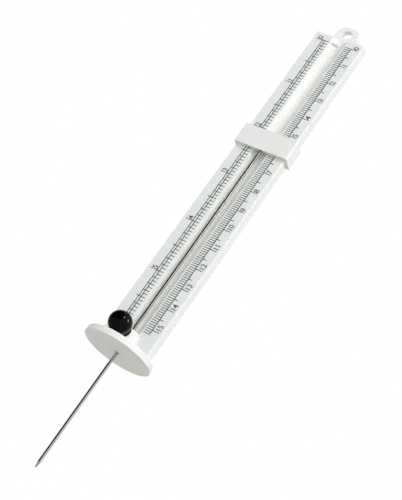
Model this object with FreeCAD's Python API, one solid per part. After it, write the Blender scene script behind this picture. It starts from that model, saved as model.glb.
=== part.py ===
import FreeCAD, Part
import os

# Needle depth gauge. Millimetres.
# Z runs up the scale body, -Y is the face that is read, X runs from the inch scale to the metric one.
# The origin is where the needle's axis meets the underside of the foot disc.

# Foot
disc_radius = 14.5
disc_thickness = 2.6
disc_edge_round = 0.6
hub_radius = 4.3
hub_top = 9.8
hub_edge_round = 0.8
needle_bore_play = 0.05
bore_mouth_flare = 0.16
bore_mouth_depth = 0.9

# Scale body
body_width = 22.8
body_depth = 5.0
body_top = 167.5
body_edge_round = 0.5
trough_width = 6.8
trough_depth = 2.3
face_wall = 1.4
side_wall = 1.6
end_wall = 2.2
socket_block_top = 14.5
rib_thickness = 1.2
rib_count = 5
rib_setback = 0.6
socket_gap = 0.02

# Stop lug, a short bar across the trough's floor just above the zero line
stop_lug_left_x = -2.4
stop_lug_right_x = 0.3
stop_lug_above_zero = 0.7
stop_lug_thickness = 0.6
stop_lug_rise = 0.8

# Hanging ear
ear_width = 10.4
ear_rise = 8.7
ear_front_setback = 2.7
ear_corner = 4.3
ear_hole_radius = 2.2
ear_hole_rise = 4.8

# Scale strips, set flush in the lands
strip_inner_margin = 0.25
strip_outer_margin = 0.65
strip_thickness = 0.2
strip_end_margin = 0.4
strip_hub_gap = 0.4

# Slider
scale_zero_drop = 3.5
reading = 51.8
slider_height = 9.6
slider_wall = 1.25
slider_flange_wall = 0.95
slider_hook_wall = 0.95
slider_hook_reach = 2.3
slider_corner = 0.7
slider_gap = 0.1
key_gap = 0.15
key_recess = 1.5
key_hole_play = 0.25
key_hole_depth = 1.0

# Needle and its collar
needle_radius = 0.65
needle_point_length = 2.2
needle_tip_radius = 0.28
needle_stop_below_edge = 2.6
collar_wall = 0.3
collar_length = 4.0
collar_groove_depth = 0.15
collar_groove_width = 0.5
collar_groove_count = 3

# Lock screw
screw_z = 7.35
ball_radius = 4.6
ball_standoff = 6.35
neck_radius = 2.8
neck_gap = 0.3
stud_radius = 1.25
stud_depth_in_ball = 6.2
stud_play = 0.05
insert_wall = 0.5
insert_back_gap = 0.95
boss_wall = 0.6
boss_reach = 0.6
pad_radius = 1.0
pad_thickness = 1.2
pad_play = 0.05
pad_stem_radius = 0.4
pad_stem_length = 0.85
pad_socket_extra = 0.2

# Modelling allowances: how far a cutter runs past a face, how far a feature is rooted in the
# solid that it grows from, and how closely two places must agree to be the same
cutter_overrun = 1.0
root_overlap = 0.3
same_place = 1e-4

half_width = body_width / 2.0
half_trough = trough_width / 2.0
strip_inner_edge = half_trough + strip_inner_margin
strip_outer_edge = half_width - strip_outer_margin
ear_top = body_top + ear_rise
ear_hole_z = body_top + ear_hole_rise
scale_zero_z = body_top - scale_zero_drop
needle_bore_radius = needle_radius + needle_bore_play
bore_mouth_radius = needle_bore_radius + bore_mouth_flare
key_hole_radius = needle_radius + key_hole_play
collar_radius = needle_radius + collar_wall
insert_bore_radius = stud_radius + stud_play
insert_radius = insert_bore_radius + insert_wall
boss_radius = insert_radius + boss_wall
boss_front_y = -hub_radius - boss_reach
insert_front_y = boss_front_y
insert_back_y = -needle_radius - insert_back_gap
ball_centre_y = boss_front_y - ball_standoff
neck_back_y = boss_front_y - neck_gap
pad_face_y = -needle_radius - pad_play
stud_tip_y = pad_face_y - pad_thickness - pad_play
pad_bore_radius = pad_radius + pad_play
pad_socket_radius = pad_stem_radius + pad_play
pad_socket_depth = pad_stem_length + pad_socket_extra
trough_radius = (half_trough ** 2 + trough_depth ** 2) / (2.0 * trough_depth)
trough_axis_y = trough_depth - trough_radius
slider_top_z = scale_zero_z - reading
slider_foot_z = slider_top_z - slider_height
x_axis = FreeCAD.Vector(1, 0, 0)
y_axis = FreeCAD.Vector(0, 1, 0)
z_axis = FreeCAD.Vector(0, 0, 1)


def box(x0, x1, y0, y1, z0, z1):
    """Box between two corners."""
    return Part.makeBox(x1 - x0, y1 - y0, z1 - z0, FreeCAD.Vector(x0, y0, z0))


def rod_z(radius, z0, z1, y=0.0):
    """Round bar along Z."""
    return Part.makeCylinder(radius, z1 - z0, FreeCAD.Vector(0, y, z0), z_axis)


def rod_y(radius, y0, y1, z, x=0.0):
    """Round bar along Y."""
    return Part.makeCylinder(radius, y1 - y0, FreeCAD.Vector(x, y0, z), y_axis)


def edges_where(shape, test):
    """Edges whose two end points and middle all pass the test."""
    found = []
    for edge in shape.Edges:
        first = edge.valueAt(edge.FirstParameter)
        middle = edge.valueAt((edge.FirstParameter + edge.LastParameter) / 2.0)
        last = edge.valueAt(edge.LastParameter)
        if test(first) and test(middle) and test(last):
            found.append(edge)
    return found


def near(value, target):
    """True when two lengths agree."""
    return abs(value - target) < same_place


def ear_tab():
    """Tab with a rounded top and the hanging hole."""
    half = ear_width / 2.0
    tab = box(-half, half, ear_front_setback, body_depth, body_top - end_wall, ear_top)
    corners = edges_where(tab, lambda p: near(abs(p.x), half) and near(p.z, ear_top))
    tab = tab.makeFillet(ear_corner, corners)
    front = ear_front_setback - cutter_overrun
    return tab.cut(rod_y(ear_hole_radius, front, body_depth + cutter_overrun, ear_hole_z))


def body_bar():
    """Solid bar with rounded long edges."""
    bar = box(-half_width, half_width, 0, body_depth, disc_thickness, body_top)
    long_edges = edges_where(
        bar, lambda p: near(abs(p.x), half_width) and (near(p.y, 0) or near(p.y, body_depth)))
    return bar.makeFillet(body_edge_round, long_edges)


def back_hollow():
    """Space cored out of the back, clear of the trough wall and the cross ribs."""
    inner = half_width - side_wall
    back = body_depth + cutter_overrun
    hollow = box(-inner, inner, face_wall, back, socket_block_top, body_top - end_wall)
    hollow = hollow.cut(rod_z(trough_radius + face_wall, 0, body_top, trough_axis_y))
    span = body_top - end_wall - socket_block_top
    for index in range(rib_count):
        middle = socket_block_top + span * (index + 1) / (rib_count + 1)
        low = middle - rib_thickness / 2.0
        high = middle + rib_thickness / 2.0
        rib = box(-half_width, half_width, 0, body_depth - rib_setback, low, high)
        hollow = hollow.cut(rib)
    return hollow


def trough_void():
    """Round-bottomed groove along the whole face."""
    return rod_z(trough_radius, 0, body_top + cutter_overrun, trough_axis_y)


def strip_box(side, proud):
    """Space of one scale strip, side -1 for inches and +1 for the metric scale."""
    low = disc_thickness + strip_end_margin
    high = body_top - strip_end_margin
    inner = side * strip_inner_edge
    outer = side * strip_outer_edge
    strip = box(min(inner, outer), max(inner, outer), -proud, strip_thickness, low, high)
    return strip.cut(rod_z(hub_radius + strip_hub_gap, 0, hub_top + strip_hub_gap))


def stop_lug():
    """Bar on the trough's curved floor that stops the slider's key just past zero."""
    low = scale_zero_z + stop_lug_above_zero
    high = low + stop_lug_thickness
    ring = rod_z(trough_radius + root_overlap, low, high, trough_axis_y)
    ring = ring.cut(rod_z(trough_radius - stop_lug_rise, low, high, trough_axis_y))
    return ring.common(box(stop_lug_left_x, stop_lug_right_x, 0, body_depth, low, high))


def channel_body():
    """Moulded body: bar, trough, hub socket, strip recesses, cored back and ear."""
    shape = body_bar()
    shape = shape.cut(trough_void())
    shape = shape.cut(back_hollow())
    shape = shape.cut(rod_z(hub_radius + socket_gap, 0, hub_top))
    shape = shape.cut(strip_box(-1, cutter_overrun))
    shape = shape.cut(strip_box(1, cutter_overrun))
    shape = shape.fuse(ear_tab())
    shape = shape.fuse(stop_lug())
    return shape.removeSplitter()


def foot_disc():
    """Round foot, hub plug and screw boss in one moulding."""
    disc = rod_z(disc_radius, 0, disc_thickness)
    top_rim = edges_where(disc, lambda p: near(p.z, disc_thickness))
    disc = disc.makeFillet(disc_edge_round, [edge for edge in top_rim if edge.Length > disc_radius])
    hub = rod_z(hub_radius, disc_thickness - root_overlap, hub_top)
    hub_rim = edges_where(hub, lambda p: near(p.z, hub_top))
    hub = hub.makeFillet(hub_edge_round, [edge for edge in hub_rim if edge.Length > hub_radius])
    boss = rod_y(boss_radius, boss_front_y, 0, screw_z)
    shape = disc.fuse(hub).fuse(boss).removeSplitter()
    shape = shape.cut(rod_z(needle_bore_radius, -cutter_overrun, hub_top + cutter_overrun))
    shape = shape.cut(rod_z(bore_mouth_radius, -cutter_overrun, bore_mouth_depth))
    front = insert_front_y - cutter_overrun
    shape = shape.cut(rod_y(pad_bore_radius, front, 0, screw_z))
    return shape.cut(rod_y(insert_radius, front, insert_back_y, screw_z))


def scale_strip(side):
    """Thin strip that carries one printed scale."""
    return strip_box(side, 0.0)


def thread_insert():
    """Brass insert in the hub."""
    outer = rod_y(insert_radius, insert_front_y, insert_back_y, screw_z)
    return outer.cut(rod_y(insert_bore_radius, insert_front_y, insert_back_y, screw_z))


def slider_outline():
    """Saddle section, plate in front, a flange down each side and a hook behind."""
    out_x = half_width + slider_gap + slider_flange_wall
    in_x = half_width + slider_gap
    front = -slider_gap - slider_wall
    back = body_depth + slider_gap + slider_hook_wall
    block = box(-out_x, out_x, front, back, slider_foot_z, slider_top_z)
    front_edges = edges_where(block, lambda p: near(abs(p.x), out_x) and near(p.y, front))
    block = block.makeFillet(slider_corner, front_edges)
    back_edges = edges_where(block, lambda p: near(abs(p.x), out_x) and near(p.y, back))
    block = block.makeFillet(slider_corner, back_edges)
    inside = box(-in_x, in_x, -slider_gap, body_depth + slider_gap, slider_foot_z, slider_top_z)
    mouth_x = half_width - slider_hook_reach
    mouth = box(-mouth_x, mouth_x, 0, back + cutter_overrun, slider_foot_z, slider_top_z)
    return block.cut(inside).cut(mouth)


def slider_key():
    """Round-bottomed key that runs in the trough and grips the needle."""
    low = slider_foot_z + key_recess
    high = slider_top_z - key_recess
    key = rod_z(trough_radius - key_gap, low, high, trough_axis_y)
    half = half_trough - key_gap
    return key.common(box(-half, half, -slider_gap - root_overlap, trough_depth, low, high))


def slider_clip():
    """Slider moulding with the needle and collar seats."""
    shape = slider_outline().fuse(slider_key()).removeSplitter()
    low = slider_foot_z + key_recess
    shape = shape.cut(rod_z(key_hole_radius, slider_foot_z, low + key_hole_depth))
    shape = shape.cut(rod_z(needle_radius, low, needle_top()))
    return shape.cut(collar_blank())


def needle_top():
    """Upper end of the needle inside the key."""
    return slider_top_z - needle_stop_below_edge


def collar_blank():
    """Collar outside with its grip grooves, no bore."""
    high = needle_top()
    low = high - collar_length
    blank = rod_z(collar_radius, low, high)
    pitch = collar_length / (collar_groove_count + 1)
    for index in range(collar_groove_count):
        groove_low = low + pitch * (index + 1) - collar_groove_width / 2.0
        groove_high = groove_low + collar_groove_width
        ring = rod_z(collar_radius + cutter_overrun, groove_low, groove_high)
        core = rod_z(collar_radius - collar_groove_depth, low, high)
        blank = blank.cut(ring.cut(core))
    return blank


def needle_collar():
    """Brass sleeve crimped on the needle."""
    return collar_blank().cut(rod_z(needle_radius, 0, needle_top()))


def needle():
    """Steel needle with a tapered point."""
    tip = -reading
    shaft = rod_z(needle_radius, tip + needle_point_length, needle_top())
    point = Part.makeCone(needle_tip_radius, needle_radius, needle_point_length,
                          FreeCAD.Vector(0, 0, tip), z_axis)
    return shaft.fuse(point).removeSplitter()


def stud_back_y():
    """Front end of the stud and of its hole inside the ball."""
    return ball_centre_y + ball_radius - stud_depth_in_ball


def knob_ball():
    """Ball head with its neck and the stud's hole."""
    ball = Part.makeSphere(ball_radius, FreeCAD.Vector(0, ball_centre_y, screw_z))
    neck = rod_y(neck_radius, ball_centre_y, neck_back_y, screw_z)
    knob = ball.fuse(neck).removeSplitter()
    return knob.cut(rod_y(stud_radius, stud_back_y(), neck_back_y + cutter_overrun, screw_z))


def knob_stud():
    """Threaded stud from the ball to the pad."""
    stud = rod_y(stud_radius, stud_back_y(), stud_tip_y, screw_z)
    socket_front_y = stud_tip_y - pad_socket_depth
    return stud.cut(rod_y(pad_socket_radius, socket_front_y, stud_tip_y + cutter_overrun, screw_z))


def pressure_pad():
    """Brass pad with a stem that snaps in the stud's end."""
    back = pad_face_y - pad_thickness
    disc = rod_y(pad_radius, back, pad_face_y, screw_z)
    stem = rod_y(pad_stem_radius, stud_tip_y - pad_stem_length, back + root_overlap, screw_z)
    return disc.fuse(stem).removeSplitter()


def save(shape, name):
    """Write one piece."""
    if len(shape.Solids) == 1:
        shape = shape.Solids[0]
    shape.exportStep("parts/" + name + ".step")
    print(name, "solids", len(shape.Solids), "volume", round(shape.Volume, 3), "valid", shape.isValid())


os.makedirs("parts", exist_ok=True)
save(channel_body(), "channel_body")
save(foot_disc(), "foot_disc")
save(scale_strip(-1), "inch_scale_strip")
save(scale_strip(1), "mm_scale_strip")
save(thread_insert(), "thread_insert")
save(slider_clip(), "slider_clip")
save(needle(), "needle")
save(needle_collar(), "needle_collar")
save(knob_ball(), "knob_ball")
save(knob_stud(), "knob_stud")
save(pressure_pad(), "pressure_pad")
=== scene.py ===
import math

import bpy
from mathutils import Matrix, Vector


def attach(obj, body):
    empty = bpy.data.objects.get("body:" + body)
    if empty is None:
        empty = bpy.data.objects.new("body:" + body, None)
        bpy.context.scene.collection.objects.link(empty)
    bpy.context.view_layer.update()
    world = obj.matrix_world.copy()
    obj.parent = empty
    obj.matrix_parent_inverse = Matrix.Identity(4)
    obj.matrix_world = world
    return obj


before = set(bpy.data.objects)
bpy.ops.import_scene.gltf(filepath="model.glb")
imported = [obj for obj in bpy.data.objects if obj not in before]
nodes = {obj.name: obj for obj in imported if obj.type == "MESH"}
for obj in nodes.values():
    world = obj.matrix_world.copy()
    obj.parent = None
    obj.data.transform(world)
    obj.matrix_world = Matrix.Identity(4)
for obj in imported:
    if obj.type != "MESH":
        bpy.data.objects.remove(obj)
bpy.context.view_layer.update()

# Needle depth gauge, metres. The CAD gives every solid; this script adds the printed scales,
# the finishes, the light and the camera.
mm = 0.001
scene = bpy.context.scene
print("stage: frame loaded,", len(nodes), "CAD nodes")


def linearColour(hexText):
    # sRGB hex to linear RGBA
    parts = [int(hexText[i:i + 2], 16) / 255 for i in (1, 3, 5)]
    parts = [c / 12.92 if c <= 0.04045 else ((c + 0.055) / 1.055) ** 2.4 for c in parts]
    return (*parts, 1.0)


def addNode(tree, kind, inputs=None, **settings):
    # adds one node; an input is another node's output or a plain value, a setting is the node's own
    node = tree.nodes.new(kind)
    for name, value in settings.items():
        setattr(node, name, value)
    for name, value in (inputs or {}).items():
        if isinstance(value, bpy.types.NodeSocket):
            tree.links.new(value, node.inputs[name])
        else:
            node.inputs[name].default_value = value
    return node


def emptyMaterial(name):
    material = bpy.data.materials.new(name)
    material.use_nodes = True
    material.node_tree.nodes.clear()
    return material, material.node_tree


# a noise's values lie mostly in this range, which is stretched over each tint and roughness
noiseRange = {"From Min": 0.3, "From Max": 0.7}
# a Mix node keeps one set of sockets per data type, and these are the colour ones
mixFirst, mixSecond, mixResult = 6, 7, 2


def makeFinish(name, look):
    # one surface: a patchy tint, and a grain or thread that varies its gloss and raises it a little.
    # Sizes are metres on the object, and a stretch draws the spots out along X, Y or Z.
    material, tree = emptyMaterial(name)
    place = addNode(tree, "ShaderNodeTexCoord").outputs["Object"]
    spots = {}
    for use in ("tint", "grain"):
        if use not in look:
            continue
        stretch = look.get(use + "Stretch", (1, 1, 1))
        scaled = addNode(tree, "ShaderNodeMapping", {"Vector": place, "Scale": [1 / s for s in stretch]})
        noise = addNode(tree, "ShaderNodeTexNoise", {
            "Vector": scaled.outputs["Vector"], "Scale": 1 / look[use], "Detail": 2.0})
        spots[use] = noise.outputs["Fac"]
    tint = addNode(tree, "ShaderNodeMapRange", {"Value": spots["tint"], **noiseRange})
    colour = addNode(tree, "ShaderNodeMix", {
        "Factor": tint.outputs["Result"], mixFirst: linearColour(look["colour"]),
        mixSecond: linearColour(look["shade"])}, data_type="RGBA")
    surface = {"Base Color": colour.outputs[mixResult], **look["surface"]}
    if "grain" in look:
        dull, duller = look["roughness"]
        gloss = addNode(tree, "ShaderNodeMapRange", {
            "Value": spots["grain"], **noiseRange, "To Min": dull, "To Max": duller})
        height = spots["grain"]
        if "threadPitch" in look:
            # a wave texture's bands repeat every 2 pi / 20 of its scaled length
            thread = addNode(tree, "ShaderNodeTexWave", {
                "Vector": place, "Scale": 2 * math.pi / (20 * look["threadPitch"])},
                wave_type="BANDS", bands_direction="Y")
            height = thread.outputs["Fac"]
        bump = addNode(tree, "ShaderNodeBump", {
            "Height": height, "Strength": look["bump"], "Distance": look["depth"]})
        surface.update({"Roughness": gloss.outputs["Result"], "Normal": bump.outputs["Normal"]})
    shader = addNode(tree, "ShaderNodeBsdfPrincipled", surface)
    addNode(tree, "ShaderNodeOutputMaterial", {"Surface": shader.outputs["BSDF"]})
    return material


# injection-moulded polystyrene: satin white, a faint flow tint and the tool's spark grain, which is
# drawn a few times coarser than the real one so that it shows
bodyLook = {
    "colour": "#EFF1F0", "shade": "#EBECEA", "tint": 14 * mm,
    "grain": 0.35 * mm, "roughness": (0.52, 0.62), "depth": 0.012 * mm, "bump": 0.5,
    "surface": {"IOR": 1.49, "Specular IOR Level": 0.35},
}

# injection-moulded acetal: the slider's slicker white, a shade greyer than the body
sliderLook = {
    "colour": "#EEF0EF", "shade": "#EAECEB", "tint": 6 * mm,
    "grain": 0.3 * mm, "roughness": (0.4, 0.5), "depth": 0.014 * mm, "bump": 0.5,
    "surface": {"IOR": 1.5, "Specular IOR Level": 0.4},
}

# calendered PVC film: pale green-grey, smoother than the mouldings, with a faint long ripple
filmLook = {
    "colour": "#ECF0EF", "shade": "#E8ECEB", "tint": 9 * mm,
    "grain": 1.6 * mm, "grainStretch": (1, 1, 4), "roughness": (0.28, 0.36),
    "depth": 0.01 * mm, "bump": 0.4,
    "surface": {"IOR": 1.53},
}

# drawn stainless wire: streaks along its length soften the reflections across it; the die's real
# lines are finer, and these are as wide as they need to be to show
needleLook = {
    "colour": "#BDBBB5", "shade": "#ADABA5", "tint": 0.12 * mm, "tintStretch": (1, 1, 40),
    "grain": 0.12 * mm, "grainStretch": (1, 1, 40), "roughness": (0.16, 0.28),
    "depth": 0.002 * mm, "bump": 0.4,
    "surface": {"Metallic": 1.0},
}

# rolled thread on zinc-plated steel: grey rings along the stud
studLook = {
    "colour": "#A9A8A5", "shade": "#8F8E8B", "tint": 0.4 * mm, "threadPitch": 0.45 * mm,
    "grain": 0.4 * mm, "roughness": (0.3, 0.42), "depth": 0.08 * mm, "bump": 0.6,
    "surface": {"Metallic": 1.0},
}

# turned brass, slightly tarnished: warm yellow with lathe marks as fine as can show
brassLook = {
    "colour": "#C8A961", "shade": "#B08F4A", "tint": 0.1 * mm, "tintStretch": (6, 1, 6),
    "grain": 0.1 * mm, "grainStretch": (6, 1, 6), "roughness": (0.24, 0.4),
    "depth": 0.003 * mm, "bump": 0.4,
    "surface": {"Metallic": 1.0},
}

# polished black phenolic resin: near-black with a hard gloss and a faint orange peel
ballLook = {
    "colour": "#040404", "shade": "#080809", "tint": 1.2 * mm,
    "grain": 0.7 * mm, "roughness": (0.08, 0.14), "depth": 0.004 * mm, "bump": 0.3,
    "surface": {"IOR": 1.6, "Specular IOR Level": 0.06},
}

# screen-printed ink: dull green-black, thin enough to vary a little from line to line
inkLook = {
    "colour": "#4E5856", "shade": "#66706E", "tint": 0.3 * mm,
    "surface": {"Roughness": 0.55},
}

mouldedPolystyrene = makeFinish("mouldedPolystyrene", bodyLook)
mouldedAcetal = makeFinish("mouldedAcetal", sliderLook)
calenderedPvcFilm = makeFinish("calenderedPvcFilm", filmLook)
drawnStainless = makeFinish("drawnStainless", needleLook)
rolledThreadSteel = makeFinish("rolledThreadSteel", studLook)
turnedBrass = makeFinish("turnedBrass", brassLook)
polishedPhenolic = makeFinish("polishedPhenolic", ballLook)
screenInk = makeFinish("screenInk", inkLook)

finishes = {
    "channel_body": mouldedPolystyrene, "foot_disc": mouldedPolystyrene, "slider_clip": mouldedAcetal,
    "inch_scale_strip": calenderedPvcFilm, "mm_scale_strip": calenderedPvcFilm,
    "needle": drawnStainless, "needle_collar": turnedBrass, "thread_insert": turnedBrass,
    "knob_ball": polishedPhenolic, "knob_stud": rolledThreadSteel, "pressure_pad": turnedBrass,
}
for name, material in finishes.items():
    slots = nodes[name].data.materials
    slots.clear()
    slots.append(material)
print("stage: finishes on", len(finishes), "CAD nodes")


# The printed scales lie on the strips, whose faces are at y = 0. Ink stands a little proud of that
# and a little way in, so that no face lies in another.
inch = 25.4 * mm
zeroHeight = 164.0 * mm
inkPrint = {"lineWidth": 0.38 * mm, "tickWidth": 0.34 * mm, "above": 0.02 * mm, "below": 0.01 * mm}
inkDepth = inkPrint["above"] + inkPrint["below"]
inkMiddle = (inkPrint["below"] - inkPrint["above"]) / 2

# a plain tick reaches this far out past the line, and each step is (every so many ticks, their reach)
metricScale = {
    "line": 6.83 * mm, "side": 1, "pitch": 1 * mm, "count": 153, "inward": 2.93 * mm, "plainReach": 0.0,
    "steps": ((5, 1.6 * mm), (10, 3.1 * mm)), "length": 152 * mm,
    "numbers": 15, "numberPitch": 10 * mm, "numberEdge": 7.73 * mm,
}
inchScale = {
    "line": 5.74 * mm, "side": -1, "pitch": inch / 16, "count": 97, "inward": 1.84 * mm, "plainReach": 0.0,
    "steps": ((2, 1.08 * mm), (8, 2.3 * mm), (16, 4.2 * mm)), "length": 6 * inch,
    "numbers": 6, "numberPitch": inch, "numberEdge": 7.17 * mm,
    "outerLine": 6.82 * mm, "dotPitch": inch / 4, "dotRadius": 0.3 * mm,
}
numberStyle = {
    "height": 2.4 * mm, "heightInFont": 0.7,  # a figure's share of the font's size
    "rise": 0.2 * mm, "letterGap": 0.86, "bolder": 0.035 * mm, "curveSteps": 3,
}


def rowTree(name, inputs, sums, shapeKind, shapeInputs, size, turned=(0, 0, 0)):
    # a geometry node group that prints one ink shape at each point of a row down the scale; each sum is
    # worked out in turn from the inputs, the point's index and the sums before it
    inputs = {"Count": "Int", "Pitch": "Float", "Zero Height": "Float", "Line": "Float", "Side": "Float",
              "Ink Depth": "Float", "Ink": "Material", **inputs}
    tree = bpy.data.node_groups.new(name, "GeometryNodeTree")
    tree.interface.new_socket("Geometry", in_out="OUTPUT", socket_type="NodeSocketGeometry")
    for label, kind in inputs.items():
        tree.interface.new_socket(label, in_out="INPUT", socket_type="NodeSocket" + kind)
    given = addNode(tree, "NodeGroupInput").outputs
    value = {label: given[label] for label in inputs}
    value["index"] = addNode(tree, "GeometryNodeInputIndex").outputs["Index"]
    sums = (*sums, ("down", "MULTIPLY", "index", "Pitch"), ("height", "SUBTRACT", "Zero Height", "down"))
    for label, operation, *terms in sums:
        termInputs = {slot: value.get(term, term) for slot, term in enumerate(terms)}
        value[label] = addNode(tree, "ShaderNodeMath", termInputs, operation=operation).outputs["Value"]
    row = addNode(tree, "GeometryNodeMeshLine", {"Count": value["Count"], "Offset": (0, 0, 0)}, mode="OFFSET")
    place = addNode(tree, "ShaderNodeCombineXYZ", {
        "X": value["across"], "Y": inkMiddle, "Z": value["height"]})
    points = addNode(tree, "GeometryNodeSetPosition", {
        "Geometry": row.outputs["Mesh"], "Position": place.outputs["Vector"]})
    shape = addNode(tree, shapeKind, {label: value.get(term, term) for label, term in shapeInputs.items()})
    scale = addNode(tree, "ShaderNodeCombineXYZ", {
        axis: value.get(term, term) for axis, term in zip("XYZ", size)})
    copies = addNode(tree, "GeometryNodeInstanceOnPoints", {
        "Points": points.outputs["Geometry"], "Instance": shape.outputs["Mesh"],
        "Rotation": turned, "Scale": scale.outputs["Vector"]})
    real = addNode(tree, "GeometryNodeRealizeInstances", {"Geometry": copies.outputs["Instances"]})
    inked = addNode(tree, "GeometryNodeSetMaterial", {
        "Geometry": real.outputs["Geometry"], "Material": value["Ink"]})
    addNode(tree, "NodeGroupOutput", {"Geometry": inked.outputs["Geometry"]})
    return tree


def tickTree(stepCount):
    # ink bars that all start at one inner end; every few of them reach further out
    inputs = {"Inward": "Float", "Ink Width": "Float", "Plain Reach": "Float"}
    sums = []
    longest = "Plain Reach"
    for step in range(stepCount):
        inputs.update({f"Every {step}": "Int", f"Reach {step}": "Float"})
        sums += [
            ("left over", "MODULO", "index", f"Every {step}"),
            ("hit", "LESS_THAN", "left over", 0.5),  # 1 where nothing is left over, 0 elsewhere
            ("further", "MULTIPLY", "hit", f"Reach {step}"),
            ("reach", "MAXIMUM", longest, "further"),
        ]
        longest = "reach"
    sums += [
        ("length", "ADD", "reach", "Inward"),
        ("half length", "MULTIPLY", "length", 0.5),
        ("outer end", "ADD", "Line", "reach"),
        ("middle", "SUBTRACT", "outer end", "half length"),
        ("across", "MULTIPLY", "middle", "Side"),
    ]
    size = ("length", "Ink Depth", "Ink Width")
    return rowTree("scaleTicks", inputs, sums, "GeometryNodeMeshCube", {}, size)


def dotTree():
    # round ink dots, one each pitch down the scale
    sums = [("across", "MULTIPLY", "Line", "Side")]
    disc = {"Vertices": 12, "Radius": "Radius", "Depth": "Ink Depth"}
    return rowTree("scaleDots", {"Radius": "Float"}, sums, "GeometryNodeMeshCylinder", disc, (1, 1, 1),
                   turned=(math.pi / 2, 0, 0))


def runTree(name, tree, values):
    # runs a node group on an empty mesh and returns the result as a plain mesh
    carrier = bpy.data.objects.new(name, bpy.data.meshes.new(name))
    scene.collection.objects.link(carrier)
    modifier = carrier.modifiers.new("scale", "NODES")
    modifier.node_group = tree
    for item in tree.interface.items_tree:
        if item.in_out == "INPUT":
            modifier[item.identifier] = values[item.name]
    bpy.context.view_layer.update()
    mesh = bpy.data.meshes.new_from_object(carrier.evaluated_get(bpy.context.evaluated_depsgraph_get()))
    bpy.data.objects.remove(carrier)
    return mesh


def longLine(x, low, high):
    # one ink line along the scale between two heights
    xs = (x - inkPrint["lineWidth"] / 2, x + inkPrint["lineWidth"] / 2)
    ys = (-inkPrint["above"], inkPrint["below"])
    corners = [(a, b, c) for a in xs for b in ys for c in (low, high)]
    faces = [(0, 1, 3, 2), (4, 6, 7, 5), (0, 4, 5, 1), (2, 3, 7, 6), (0, 2, 6, 4), (1, 5, 7, 3)]
    mesh = bpy.data.meshes.new("inkLine")
    mesh.from_pydata(corners, [], faces)
    return mesh


def numberMesh(number, x, z):
    # one numeral, read with the foot end on the left, its top towards -X; x is the figures' foot
    curve = bpy.data.curves.new("number", "FONT")
    curve.body = str(number)
    curve.size = numberStyle["height"] / numberStyle["heightInFont"]
    curve.space_character = numberStyle["letterGap"]
    curve.extrude = inkDepth / 2
    curve.resolution_u = numberStyle["curveSteps"]
    curve.offset = numberStyle["bolder"]
    text = bpy.data.objects.new("number", curve)
    scene.collection.objects.link(text)
    bpy.context.view_layer.update()
    mesh = bpy.data.meshes.new_from_object(text.evaluated_get(bpy.context.evaluated_depsgraph_get()))
    bpy.data.objects.remove(text)
    # the text's own x runs up the scale, its y towards -X, and its z out of the face
    mesh.transform(Matrix(((0, -1, 0, x), (0, 0, -1, inkMiddle), (1, 0, 0, z), (0, 0, 0, 1))))
    return mesh


def joinMeshes(name, meshes):
    # joins plain meshes into one inked object at the origin
    verts, faces = [], []
    for mesh in meshes:
        start = len(verts)
        verts += [v.co.copy() for v in mesh.vertices]
        faces += [[start + i for i in face.vertices] for face in mesh.polygons]
        bpy.data.meshes.remove(mesh)
    joined = bpy.data.meshes.new(name)
    joined.from_pydata(verts, [], faces)
    joined.materials.append(screenInk)
    piece = bpy.data.objects.new(name, joined)
    scene.collection.objects.link(piece)
    return piece


def printScale(name, scale):
    side = scale["side"]
    row = {"Zero Height": zeroHeight, "Side": float(side), "Ink Depth": inkDepth, "Ink": screenInk}
    ticks = {
        "Count": scale["count"], "Pitch": scale["pitch"], "Line": scale["line"], "Inward": scale["inward"],
        "Plain Reach": scale["plainReach"], "Ink Width": inkPrint["tickWidth"], **row,
    }
    for step, (every, reach) in enumerate(scale["steps"]):
        ticks.update({f"Every {step}": every, f"Reach {step}": reach})
    parts = [runTree(name, tickTree(len(scale["steps"])), ticks)]
    bottom = zeroHeight - scale["length"]
    parts.append(longLine(side * scale["line"], bottom, zeroHeight))
    if "outerLine" in scale:
        parts.append(longLine(side * scale["outerLine"], bottom, zeroHeight))
        dots = {
            "Count": int(scale["length"] / scale["dotPitch"]) + 1, "Pitch": scale["dotPitch"],
            "Line": scale["outerLine"], "Radius": scale["dotRadius"], **row,
        }
        parts.append(runTree(name + "Dots", dotTree(), dots))
    foot = scale["numberEdge"] + numberStyle["height"] if side > 0 else -scale["numberEdge"]
    for number in range(scale["numbers"] + 1):
        height = zeroHeight - number * scale["numberPitch"] + numberStyle["rise"]
        parts.append(numberMesh(number, foot, height))
    piece = joinMeshes(name, parts)
    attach(piece, "frame")
    print("stage:", name, len(piece.data.polygons), "faces")


printScale("metric_scale_print", metricScale)
printScale("inch_scale_print", inchScale)


# a plain floor: pale to the eye, with a duller, slightly warm bounce for the object's undersides, and a
# little glow that only the eye gets, so that it runs into the white behind
floorSet = {
    "height": -0.17, "size": 8.0, "colour": "#F1F1EF", "bounce": "#CBCAC5", "glow": 0.3, "roughness": 0.9,
}


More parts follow.
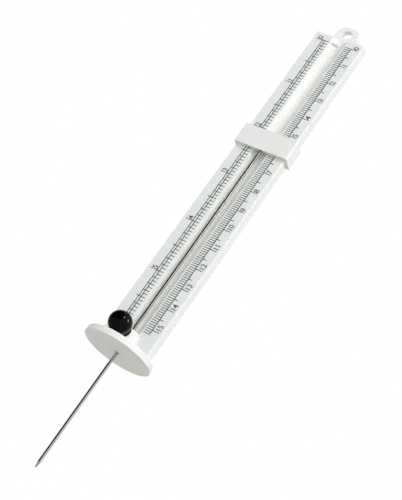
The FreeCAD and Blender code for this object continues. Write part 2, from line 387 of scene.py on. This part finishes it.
def makeFloor():
    half, z = floorSet["size"] / 2, floorSet["height"]
    mesh = bpy.data.meshes.new("floor")
    corners = [(-half, -half, z), (half, -half, z), (half, half, z), (-half, half, z)]
    mesh.from_pydata(corners, [], [(0, 1, 2, 3)])
    floor = bpy.data.objects.new("floor", mesh)
    scene.collection.objects.link(floor)
    material, tree = emptyMaterial("paleFloor")
    seen = addNode(tree, "ShaderNodeLightPath").outputs["Is Camera Ray"]
    colour = addNode(tree, "ShaderNodeMix", {
        "Factor": seen, mixFirst: linearColour(floorSet["bounce"]),
        mixSecond: linearColour(floorSet["colour"])}, data_type="RGBA")
    glow = addNode(tree, "ShaderNodeMath", {0: seen, 1: floorSet["glow"]}, operation="MULTIPLY")
    shader = addNode(tree, "ShaderNodeBsdfPrincipled", {
        "Base Color": colour.outputs[mixResult], "Roughness": floorSet["roughness"],
        "Emission Color": (1, 1, 1, 1), "Emission Strength": glow.outputs["Value"]})
    addNode(tree, "ShaderNodeOutputMaterial", {"Surface": shader.outputs["BSDF"]})
    mesh.materials.append(material)


worldSet = {"colour": "#FFFFFF", "strength": 0.7}


def makeWorld():
    # white behind the object for the eye, mirrors and glass, and a plain soft light for the rest
    world = bpy.data.worlds.new("studio")
    scene.world = world
    world.use_nodes = True
    tree = world.node_tree
    tree.nodes.clear()
    rays = addNode(tree, "ShaderNodeLightPath").outputs
    seen = rays["Is Camera Ray"]
    for ray in ("Is Glossy Ray", "Is Transmission Ray"):
        both = addNode(tree, "ShaderNodeMath", {0: seen, 1: rays[ray]}, operation="MAXIMUM")
        seen = both.outputs["Value"]
    soft = addNode(tree, "ShaderNodeBackground", {
        "Color": linearColour(worldSet["colour"]), "Strength": worldSet["strength"]})
    white = addNode(tree, "ShaderNodeBackground", {"Color": (1, 1, 1, 1), "Strength": 1.0})
    mix = addNode(tree, "ShaderNodeMixShader", {
        0: seen, 1: soft.outputs["Background"], 2: white.outputs["Background"]})
    addNode(tree, "ShaderNodeOutputWorld", {"Surface": mix.outputs["Shader"]})


# black studio flag, a curved sheet at the left and front that only shiny surfaces see; angles in degrees
flagSet = {
    "radius": 4.0, "fromAzimuth": -100, "toAzimuth": 24, "fromHeight": -50, "toHeight": 80, "steps": 16,
    "colour": "#101010",
}


def makeFlag():
    steps, radius = flagSet["steps"], flagSet["radius"]
    azimuthStep = (flagSet["toAzimuth"] - flagSet["fromAzimuth"]) / steps
    heightStep = (flagSet["toHeight"] - flagSet["fromHeight"]) / steps
    verts = []
    for i in range(steps + 1):
        azimuth = math.radians(flagSet["fromAzimuth"] + azimuthStep * i)
        for j in range(steps + 1):
            lift = math.radians(flagSet["fromHeight"] + heightStep * j)
            verts.append((radius * math.sin(azimuth) * math.cos(lift),
                          -radius * math.cos(azimuth) * math.cos(lift), radius * math.sin(lift)))
    faces = []
    for i in range(steps):
        for j in range(steps):
            a = i * (steps + 1) + j
            faces.append((a, a + 1, a + steps + 2, a + steps + 1))
    mesh = bpy.data.meshes.new("blackFlag")
    mesh.from_pydata(verts, [], faces)
    flag = bpy.data.objects.new("blackFlag", mesh)
    scene.collection.objects.link(flag)
    material, tree = emptyMaterial("blackVelvet")
    shader = addNode(tree, "ShaderNodeBsdfPrincipled", {
        "Base Color": linearColour(flagSet["colour"]), "Specular IOR Level": 0})
    addNode(tree, "ShaderNodeOutputMaterial", {"Surface": shader.outputs["BSDF"]})
    mesh.materials.append(material)
    for unseen in ("visible_camera", "visible_diffuse", "visible_shadow", "visible_transmission"):
        setattr(flag, unseen, False)


# the key lights the surfaces; the two small lamps only give gloss its spark and streak
lampAim = (0, 0, 0.06)
keyLamp = {
    "direction": (0.56, -0.52, 0.64), "distance": 3.0, "size": (1.2, 1.2), "power": 50.0,
    "lightsSurfaces": True, "showsInGloss": False,
}
sparkLamp = {
    "direction": (0.45, -0.58, 0.68), "distance": 3.0, "size": (0.42, 0.42), "power": 48.0,
    "lightsSurfaces": False, "showsInGloss": True,
}
stripLamp = {
    "direction": (0.803, 0.044, 0.594), "distance": 2.0, "size": (0.24, 0.6), "power": 26.0,
    "lightsSurfaces": False, "showsInGloss": True,
}


def makeLamp(name, values):
    data = bpy.data.lights.new(name, "AREA")
    data.shape = "RECTANGLE"
    data.size, data.size_y = values["size"]
    data.energy = values["power"]
    lamp = bpy.data.objects.new(name, data)
    lamp.visible_diffuse = values["lightsSurfaces"]
    lamp.visible_glossy = values["showsInGloss"]
    aim = Vector(lampAim)
    lamp.location = aim + Vector(values["direction"]).normalized() * values["distance"]
    lamp.rotation_euler = (aim - lamp.location).to_track_quat("-Z", "Y").to_euler()
    scene.collection.objects.link(lamp)


cameraSet = {
    "place": (0.22600, -0.39713, -0.12920), "aim": (0.00297, 0.00166, 0.05291), "roll": 35.33,  # degrees
    "lens": 91.52, "sensor": 36, "clipStart": 0.01,
}


def makeCamera():
    data = bpy.data.cameras.new("camera")
    data.lens = cameraSet["lens"]
    data.sensor_width = cameraSet["sensor"]
    data.clip_start = cameraSet["clipStart"]
    camera = bpy.data.objects.new("camera", data)
    place, aim = Vector(cameraSet["place"]), Vector(cameraSet["aim"])
    level = (aim - place).to_track_quat("-Z", "Y").to_matrix().to_4x4()
    roll = Matrix.Rotation(math.radians(cameraSet["roll"]), 4, "Z")
    camera.matrix_world = Matrix.Translation(place) @ level @ roll
    scene.collection.objects.link(camera)
    scene.camera = camera


makeFloor()
makeWorld()
makeFlag()
makeLamp("keyLamp", keyLamp)
makeLamp("sparkLamp", sparkLamp)
makeLamp("stripLamp", stripLamp)
makeCamera()
scene.view_settings.view_transform = "Standard"
print("stage: light, floor and camera")
